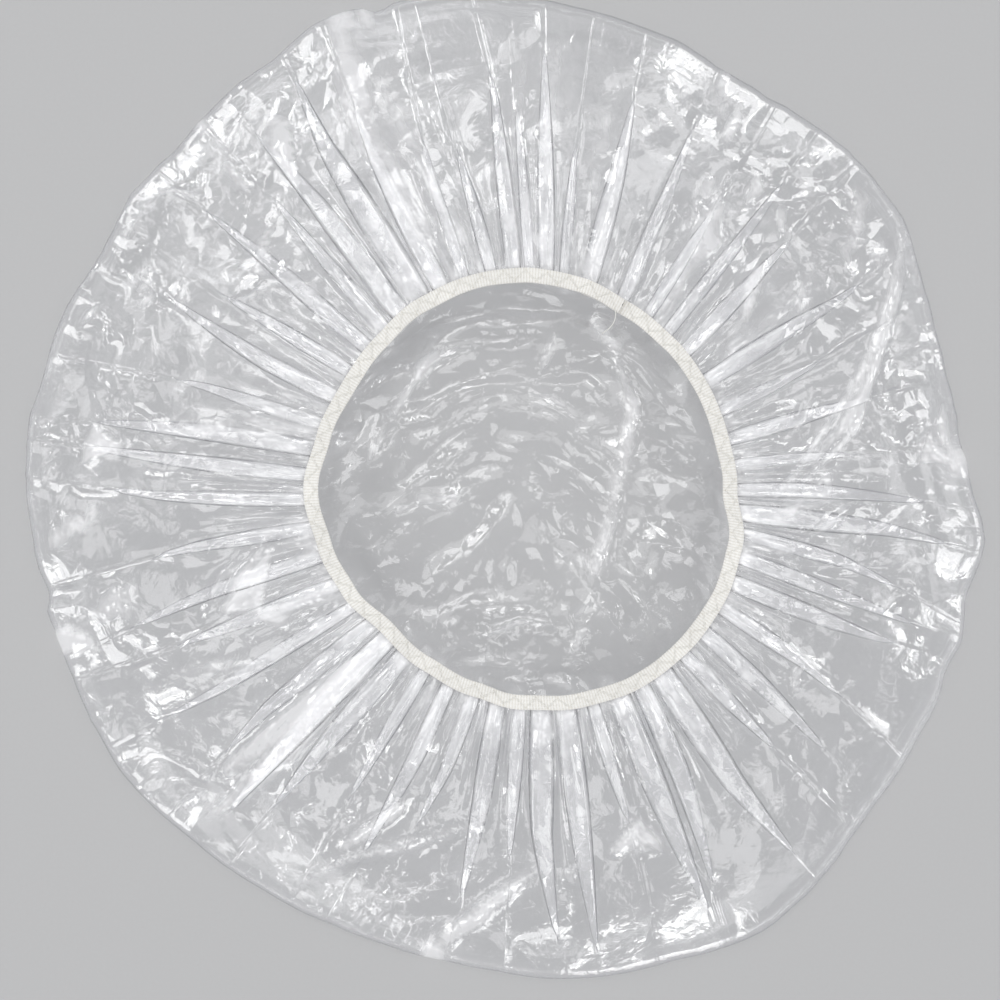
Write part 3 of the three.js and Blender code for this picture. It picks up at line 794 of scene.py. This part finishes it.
def strip_section():
    """Points all round the strip: across it, up it, and how much of the knit's relief shows."""
    half, top = BAND_WIDTH / 2, BAND_THICKNESS / 2
    reach = half - BAND_CORNER
    ring = [(u, top, 1.0) for u in np.linspace(reach, -reach, BAND_TOP_COLUMNS + 1)]
    edge = [(half - EDGE_IN, EDGE_DROP - top, 0.5), (half, 0.0, 0.3)]
    edge.append((half - EDGE_IN, top - EDGE_DROP, 0.5))
    ring += [(-u, -v, skin) for u, v, skin in edge]
    ring += [(u, -top, -0.6) for u in np.linspace(-reach, reach, BAND_UNDER_COLUMNS + 1)]
    return np.array(ring + edge)


def end_faces(verts, loops, sign):
    """Triangles that close a cut end of the strip, round the tunnels of its rubber threads."""
    def flat(n):
        return math.hypot(verts[n][0] - MOUTH_X, verts[n][1] - MOUTH_Y), verts[n][2]

    index = [n for loop in loops for n in loop]
    faces = []
    for triangle in tessellate_polygon([[Vector((*flat(n), 0)) for n in loop] for loop in loops]):
        a, b, c = (index[n] for n in triangle)
        (ax, ay), (bx, by), (cx, cy) = flat(a), flat(b), flat(c)
        area = (bx - ax) * (cy - ay) - (cx - ax) * (by - ay)
        if abs(area) >= 1e-9:
            faces.append([a, b, c] if area * sign > 0 else [a, c, b])
    return faces


def band_mesh():
    """The knitted strip: ribs across it, a wale over each core, a dimple at each stitch."""
    steps, gone = strip_length()
    count = int(gone[-1] / RIB_PITCH) * RIB_ROWS
    along = np.linspace(0, gone[-1], count + 1)
    step = np.interp(along, gone, steps)
    ring = strip_section()
    u, v, skin = ring.T
    s = along[:, None]
    bend = RIB_BEND * np.abs(((u / CORE_PITCH + 0.5) % 1) - 0.5)
    rib_and_shade = 0.5 + 0.5 * np.cos(2 * np.pi * (s / RIB_PITCH + bend))
    wale = 0.5 + 0.5 * np.cos(2 * np.pi * u / CORE_PITCH)
    relief = RIB_HEIGHT * rib_and_shade ** 0.7 + WALE_HEIGHT * wale
    relief += FUZZ_HEIGHT * smooth_noise(s, u, 0.7, 71)
    turns, sides = stitch_turns()
    turn_at = np.interp(turns, steps, gone)
    nearest = np.abs(s - turn_at).argmin(1)
    past, side = s - turn_at[nearest][:, None], sides[nearest][:, None]
    hole = np.exp(-((past ** 2 + (u - side) ** 2) / HOLE_RADIUS ** 2)) * (skin > 0.9)
    seam = np.interp(along, turn_at, sides)[:, None]
    within = ((along >= turn_at[0]) & (along <= turn_at[-1]))[:, None]
    groove = np.exp(-(((u - seam) / GROOVE_WIDTH) ** 2)) * within * (skin > 0.9)
    lean = strip_lean(along)
    wide = 1 + 0.035 * smooth_noise(along, 0, 13, 74)
    wide += 0.012 * np.cos(2 * np.pi * along / RIB_PITCH)
    height = v + np.sign(v) * relief * np.abs(skin) - HOLE_DEPTH * hole - GROOVE_DEPTH * groove
    height += SAG * smooth_noise(s, 0, 11, 76)
    turned = step[:, None] + 0 * u
    frayed = FRAY * smooth_noise(ring[:, 0], ring[:, 1] * 3, 0.5, 75)
    turned[0] -= frayed
    turned[-1] += frayed
    x, y = mouth_xy(strip_angle(turned), u * wide[:, None] + lean[:, None])
    middle_z = BAND_FLOOR + BAND_THICKNESS / 2
    outer = np.stack([x, y, np.maximum(middle_z + strip_lift(turned) + height, BAND_LEAST)], 2)
    rows, columns = outer.shape[:2]
    points = [outer.reshape(-1, 3)]
    faces = grid_faces(rows, columns)
    start_loops = [list(range(columns))]
    end_loops = [[(rows - 1) * columns + n for n in range(columns)]]
    total = rows * columns
    coarse = np.linspace(0, len(along) - 1, 5 * RING_STEPS + 1).astype(int)
    spin = -2 * np.pi * np.arange(TUNNEL_SIDES) / TUNNEL_SIDES
    radius = CORE_RADIUS + TUNNEL_GAP
    for middle in (-CORE_PITCH, 0, CORE_PITCH):
        hole_u = middle + radius * np.cos(spin) + lean[coarse][:, None]
        at = step[coarse][:, None] + 0 * hole_u
        hx, hy = mouth_xy(strip_angle(at), hole_u)
        hz = middle_z + strip_lift(at) + radius * np.sin(spin)
        points.append(np.stack([hx, hy, hz], 2).reshape(-1, 3))
        faces += grid_faces(len(coarse), TUNNEL_SIDES, total)
        last = total + (len(coarse) - 1) * TUNNEL_SIDES
        start_loops.append([total + n for n in range(TUNNEL_SIDES)])
        end_loops.append([last + n for n in range(TUNNEL_SIDES)])
        total = last + TUNNEL_SIDES
    verts = np.concatenate(points)
    faces += end_faces(verts, start_loops, 1) + end_faces(verts, end_loops, -1)
    mesh = smooth_mesh("band", verts, faces)
    # Painted shade for the knit: darker in the rib valleys, between the wales and in the stitch
    # dimples
    shade = np.ones(len(verts))
    skin_shade = (0.35 + 0.65 * rib_and_shade ** 0.8) * (0.75 + 0.25 * wale) * (1 - 0.6 * hole)
    shade[: rows * columns] = skin_shade.ravel()
    set_points(mesh, "rib_and_shade", shade)
    return mesh


def tube_mesh(name, path, radius, sides, twist=0.0):
    """A closed tube along a run of points; with a twist, its two plies show as a turning oval."""
    along = np.gradient(path, axis=0)
    along /= np.linalg.norm(along, axis=1)[:, None]
    across = np.stack([-along[:, 1], along[:, 0], 0 * along[:, 0]], 1)
    across /= np.linalg.norm(across, axis=1)[:, None]
    up = np.cross(along, across)
    gone = np.concatenate([[0], np.cumsum(np.linalg.norm(np.diff(path, axis=0), axis=1))])
    turn = 2 * np.pi * np.arange(sides) / sides
    wide = radius + 0 * turn + 0 * gone[:, None]
    if twist:
        wide = radius * (0.72 + 0.28 * np.abs(np.cos(turn - 2 * np.pi * gone[:, None] / twist)))
    points = path[:, None] + wide[:, :, None] * (
        np.cos(turn)[:, None] * across[:, None] + np.sin(turn)[:, None] * up[:, None]
    )
    last = (len(path) - 1) * sides
    ends = [list(range(sides))[::-1], [last + n for n in range(sides)]]
    return smooth_mesh(name, points.reshape(-1, 3), grid_faces(len(path), sides) + ends)


def core_mesh(name, middle):
    step = np.linspace(-CORE_PROUD, RING_STEPS + CORE_PROUD, 6 * RING_STEPS + 1)
    along = np.interp(step, *strip_length())
    x, y = mouth_xy(strip_angle(step), middle + strip_lean(along))
    z = BAND_FLOOR + BAND_THICKNESS / 2 + strip_lift(step)
    return tube_mesh(name, np.stack([x, y, z], 1), CORE_RADIUS, CORE_SIDES)


def zigzag():
    """The stitch line on the plan, its steps along the strip, and where it dips at its turns."""
    turns, sides = stitch_turns()
    index = np.arange(len(turns))
    share = np.linspace(0, len(turns) - 1, (len(turns) - 1) * POINTS_PER_TURN + 1)
    step = np.interp(share, index, turns)
    across = np.interp(share, index, sides)
    near = np.abs(share - np.round(share))
    across -= np.sign(across) * TURN_ROUNDING * np.exp(-((near / 0.09) ** 2))
    return *mouth_xy(strip_angle(step), across), step, np.exp(-((near / 0.11) ** 2))


def needle_run():
    x, y, step, dip = zigzag()
    rest = BAND_FLOOR + BAND_THICKNESS + THREAD_RADIUS - THREAD_PRESS
    path = np.stack([x, y, rest + strip_lift(step) - TOP_DIP * dip], 1)
    leave = path[-1]
    inward = np.array([MOUTH_X - leave[0], MOUTH_Y - leave[1], 0])
    inward /= np.linalg.norm(inward)
    aside = np.array([-inward[1], inward[0], 0])
    share = np.linspace(0.02, 1, 60)[:, None]
    tail = leave + inward * TAIL_LENGTH * share + aside * TAIL_SWING * np.sin(np.pi * share)
    tail[:, 2] += TAIL_RISE * np.sin(np.pi * share[:, 0]) - TAIL_DROP * share[:, 0] ** 2
    return np.concatenate([path, tail])


def bobbin_run():
    x, y, _, dip = zigzag()
    rest = MOUTH_HEIGHT - HEM_SINK - STITCH_CLEARANCE - THREAD_RADIUS
    return np.stack([x, y, rest + UNDER_DIP * dip], 1)


# Materials
NOISE_LOW, NOISE_HIGH = 0.3, 0.7
FILM_CLEAR = (0.985, 0.986, 0.99, 1)
FILM_STEEP = (0.56, 0.57, 0.6, 1)
FILM_MILK_AND_GLINT = (0.94, 0.94, 0.948, 1)
FILM_SHADOW = (0.975, 0.975, 0.977, 1)
# Painted shade in the knit's hollows, then the knit's own colour
KNIT_SHADE = (0.68, 0.65, 0.58)
KNIT_LIGHT = (0.9, 0.888, 0.858)
RUBBER = (0.8, 0.72, 0.55)
THREAD = (0.9, 0.89, 0.85)
FLOOR = (0.5, 0.5, 0.503)


def new_tree(name):
    material = bpy.data.materials.new(name)
    material.use_nodes = True
    material.node_tree.nodes.clear()
    return material, material.node_tree


def add(tree, kind, inputs=(), output=0, **settings):
    """Adds a node with its settings and inputs, and gives one of its outputs."""
    node = tree.nodes.new("ShaderNode" + kind)
    for name, value in settings.items():
        setattr(node, name, value)
    for socket, value in dict(inputs).items():
        if isinstance(value, bpy.types.NodeSocket):
            tree.links.new(value, node.inputs[socket])
        else:
            node.inputs[socket].default_value = value
    return node.outputs[output]


def finish_tree(tree, shader):
    tree.links.new(shader, tree.nodes.new("ShaderNodeOutputMaterial").inputs["Surface"])


def noise(tree, scale, detail, distortion=0.0):
    where = add(tree, "TexCoord", output="Object")
    return add(tree, "TexNoise", {
        "Scale": scale, "Detail": detail, "Distortion": distortion, "Vector": where,
    })


def bump(tree, height, strength, distance):
    return add(tree, "Bump", {"Strength": strength, "Distance": distance, "Height": height})


def vary(tree, value, low, high):
    """Turns a noise into a factor between two numbers."""
    return add(tree, "MapRange", {
        "From Min": NOISE_LOW, "From Max": NOISE_HIGH, "To Min": low, "To Max": high,
        "Value": value,
    })


def mix(tree, factor, first, second):
    return add(tree, "MixShader", {0: factor, 1: first, 2: second})


def ramp(tree, factor, *stops):
    """A colour ramp between two stops, each a position and a colour."""
    node = tree.nodes.new("ShaderNodeValToRGB")
    for element, (position, colour) in zip(node.color_ramp.elements, stops):
        element.position, element.color = position, (*colour, 1)
    tree.links.new(factor, node.inputs[0])
    return node.outputs[0]


def film_material():
    """Clear film that is white where it is milky or carries a painted highlight, and shines more
    the steeper it is seen. Cells laid along the folds tip the normal of its gloss, as the small
    facets of crumpled film do."""
    material, tree = new_tree("film")
    fine = noise(tree, 260, 2, 0.6)
    lie = add(tree, "Attribute", output="Vector", attribute_name="lie")
    tipping = add(tree, "Attribute", output="Fac", attribute_name="tipping")
    normal = bump(tree, fine, 0.28, 0.0006)
    for size, tilt in ((1.0, FACET_TILT), (2.6, 0.45 * FACET_TILT)):
        tip = add(tree, "TexVoronoi", {"Scale": size, "Vector": lie}, "Color")
        tip = add(tree, "VectorMath", {0: tip, 1: (0.5, 0.5, 0.5)}, operation="SUBTRACT")
        tip = add(tree, "VectorMath", {0: tip, 1: (2 * tilt, 2 * tilt, 0)}, operation="MULTIPLY")
        tip = add(tree, "VectorMath", {0: tip, "Scale": tipping}, operation="SCALE")
        normal = add(tree, "VectorMath", {0: normal, 1: tip}, operation="ADD")
    normal = add(tree, "VectorMath", {0: normal}, operation="NORMALIZE")
    facing = add(tree, "LayerWeight", {"Blend": 0.5}, "Facing")
    steep = add(tree, "Math", {0: facing, 1: 1.5}, operation="POWER")
    through = {"A": FILM_CLEAR, "B": FILM_STEEP, "Factor": steep}
    through = add(tree, "Mix", through, "Result", data_type="RGBA")
    clear = add(tree, "BsdfTransparent", {"Color": through})
    # White haze of the film, which also draws the painted highlights
    milk_and_glint_shader = mix(
        tree, 0.35, add(tree, "BsdfDiffuse", {"Color": FILM_MILK_AND_GLINT}),
        add(tree, "BsdfTranslucent", {"Color": FILM_MILK_AND_GLINT}),
    )
    milk_and_glint = add(tree, "Attribute", output="Fac", attribute_name="milk_and_glint")
    share = add(tree, "Math", {0: vary(tree, fine, 0.8, 1.2), 1: milk_and_glint}, operation="MULTIPLY")
    gloss = add(tree, "BsdfGlossy", {"Roughness": 0.12, "Color": (1, 1, 1, 1), "Normal": normal})
    grazing = add(tree, "Math", {0: facing, 1: 4.5}, operation="POWER")
    shine = add(tree, "MapRange", {"To Min": 0.1, "To Max": 0.9, "Value": grazing})
    skin = mix(tree, shine, mix(tree, share, clear, milk_and_glint_shader), gloss)
    shadow = add(tree, "LightPath", output="Is Shadow Ray")
    finish_tree(tree, mix(tree, shadow, skin, add(tree, "BsdfTransparent", {"Color": FILM_SHADOW})))
    return material


def plain_material(name, colour, roughness, scale, strength, darker=0.82):
    material, tree = new_tree(name)
    grain = noise(tree, scale, 6)
    finish_tree(tree, add(tree, "BsdfPrincipled", {
        "Roughness": roughness,
        "Base Color": ramp(tree, grain, (0.3, [v * darker for v in colour]), (0.65, colour)),
        "Normal": bump(tree, grain, strength, 0.0002),
    }))
    return material


def knit_material():
    """Off-white knit: painted shade between its ribs, between its wales and in its stitch dimples,
    uneven in patches and from fibre to fibre.
    """
    material, tree = new_tree("knit")
    fibre, patch = noise(tree, 3200, 5), noise(tree, 90, 3)
    rib_and_shade = add(tree, "Attribute", output="Fac", attribute_name="rib_and_shade")
    tone = add(tree, "Math", {
        0: vary(tree, patch, 0.93, 1.04), 1: vary(tree, fibre, 0.88, 1.05),
    }, operation="MULTIPLY")
    colour = ramp(tree, rib_and_shade, (0.05, KNIT_SHADE), (0.75, KNIT_LIGHT))
    finish_tree(tree, add(tree, "BsdfPrincipled", {
        "Roughness": 0.86, "Sheen Weight": 0.25, "Sheen Roughness": 0.5,
        "Base Color": add(tree, "VectorMath", {0: colour, "Scale": tone}, operation="SCALE"),
        "Normal": bump(tree, fibre, 0.5, 0.0002),
    }))
    return material


# Pieces


def put(name, mesh, material, slot, *nodes):
    piece = place_object(name, mesh)
    mesh.materials.append(material)
    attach(piece, "root")
    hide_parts(*nodes)
    return piece


film = put("film", film_mesh(), film_material(), "film", "film_cap")
sewn = [put("band", band_mesh(), knit_material(), "elastic_knit", "elastic_band")]
rubber = plain_material("rubber", RUBBER, 0.55, 1800, 0.3)
for core, middle in (("inner", -CORE_PITCH), ("middle", 0), ("outer", CORE_PITCH)):
    mesh = core_mesh(f"core_{core}", middle)
    sewn.append(put(f"core_{core}", mesh, rubber, "core_rubber", f"rubber_core_{core}"))
spun = plain_material("thread", THREAD, 0.6, 2400, 0.4)
for name, run, node in (
    ("top_thread", needle_run(), "needle_thread"), ("under_thread", bobbin_run(), "bobbin_thread"),
):
    mesh = tube_mesh(name, run, THREAD_RADIUS, THREAD_SIDES, THREAD_TWIST)
    sewn.append(put(name, mesh, spun, "thread", node))

# Floor and lights, in metres
FLOOR_REACH = 30
floor_mesh = bpy.data.meshes.new("floor")
floor_mesh.from_pydata([
    (x * FLOOR_REACH, y * FLOOR_REACH, 0) for x, y in ((-1, -1), (1, -1), (1, 1), (-1, 1))
], [], [(0, 1, 2, 3)])
floor = place_object("floor", floor_mesh)
floor_mesh.materials.append(plain_material("floor", FLOOR, 0.9, 900, 0.02, 0.985))

# Each lamp a metre from the cap: direction and lean from upright in degrees, sizes, watts
LAMPS = (
    (133, 50, 0.08, 0.08, 0.14), (62, 47, 0.07, 0.1, 0.12), (-12, 52, 0.08, 0.08, 0.13),
    (212, 46, 0.07, 0.1, 0.13), (287, 50, 0.1, 0.07, 0.13), (172, 54, 0.08, 0.08, 0.13),
    (20, 44, 0.06, 0.06, 0.08), (250, 42, 0.06, 0.06, 0.08), (115, 19, 0.55, 0.45, 0.65),
    (140, 54, 0.32, 0.32, 1.2), (55, 52, 0.3, 0.3, 1.0), (-5, 55, 0.3, 0.3, 1.0),
    (215, 54, 0.3, 0.3, 1.1), (285, 55, 0.3, 0.3, 1.0), (120, 26, 0.3, 0.26, 0.55),
    (235, 29, 0.3, 0.26, 0.5), (5, 27, 0.26, 0.3, 0.45), (300, 33, 0.26, 0.26, 0.35),
    (60, 34, 0.26, 0.26, 0.35), (175, 36, 0.3, 0.26, 0.35),
)
for index, (azimuth, tilt, size_x, size_y, watts) in enumerate(LAMPS):
    turn, lean = math.radians(azimuth), math.radians(tilt)
    data = bpy.data.lights.new(f"lamp_{index}", "AREA")
    data.shape = "RECTANGLE"
    data.size, data.size_y = size_x, size_y
    data.energy = watts
    light = place_object(f"lamp_{index}", data)
    light.location = (
        math.sin(lean) * math.cos(turn), math.sin(lean) * math.sin(turn), math.cos(lean),
    )
    light.rotation_euler = (-light.location).to_track_quat("-Z", "Y").to_euler()

world = bpy.data.worlds.new("studio")
world.use_nodes = True
background = world.node_tree.nodes["Background"]
background.inputs["Color"].default_value = (0.92, 0.93, 0.95, 1)
background.inputs["Strength"].default_value = 0.42
scene.world = world
scene.view_settings.view_transform = "Standard"
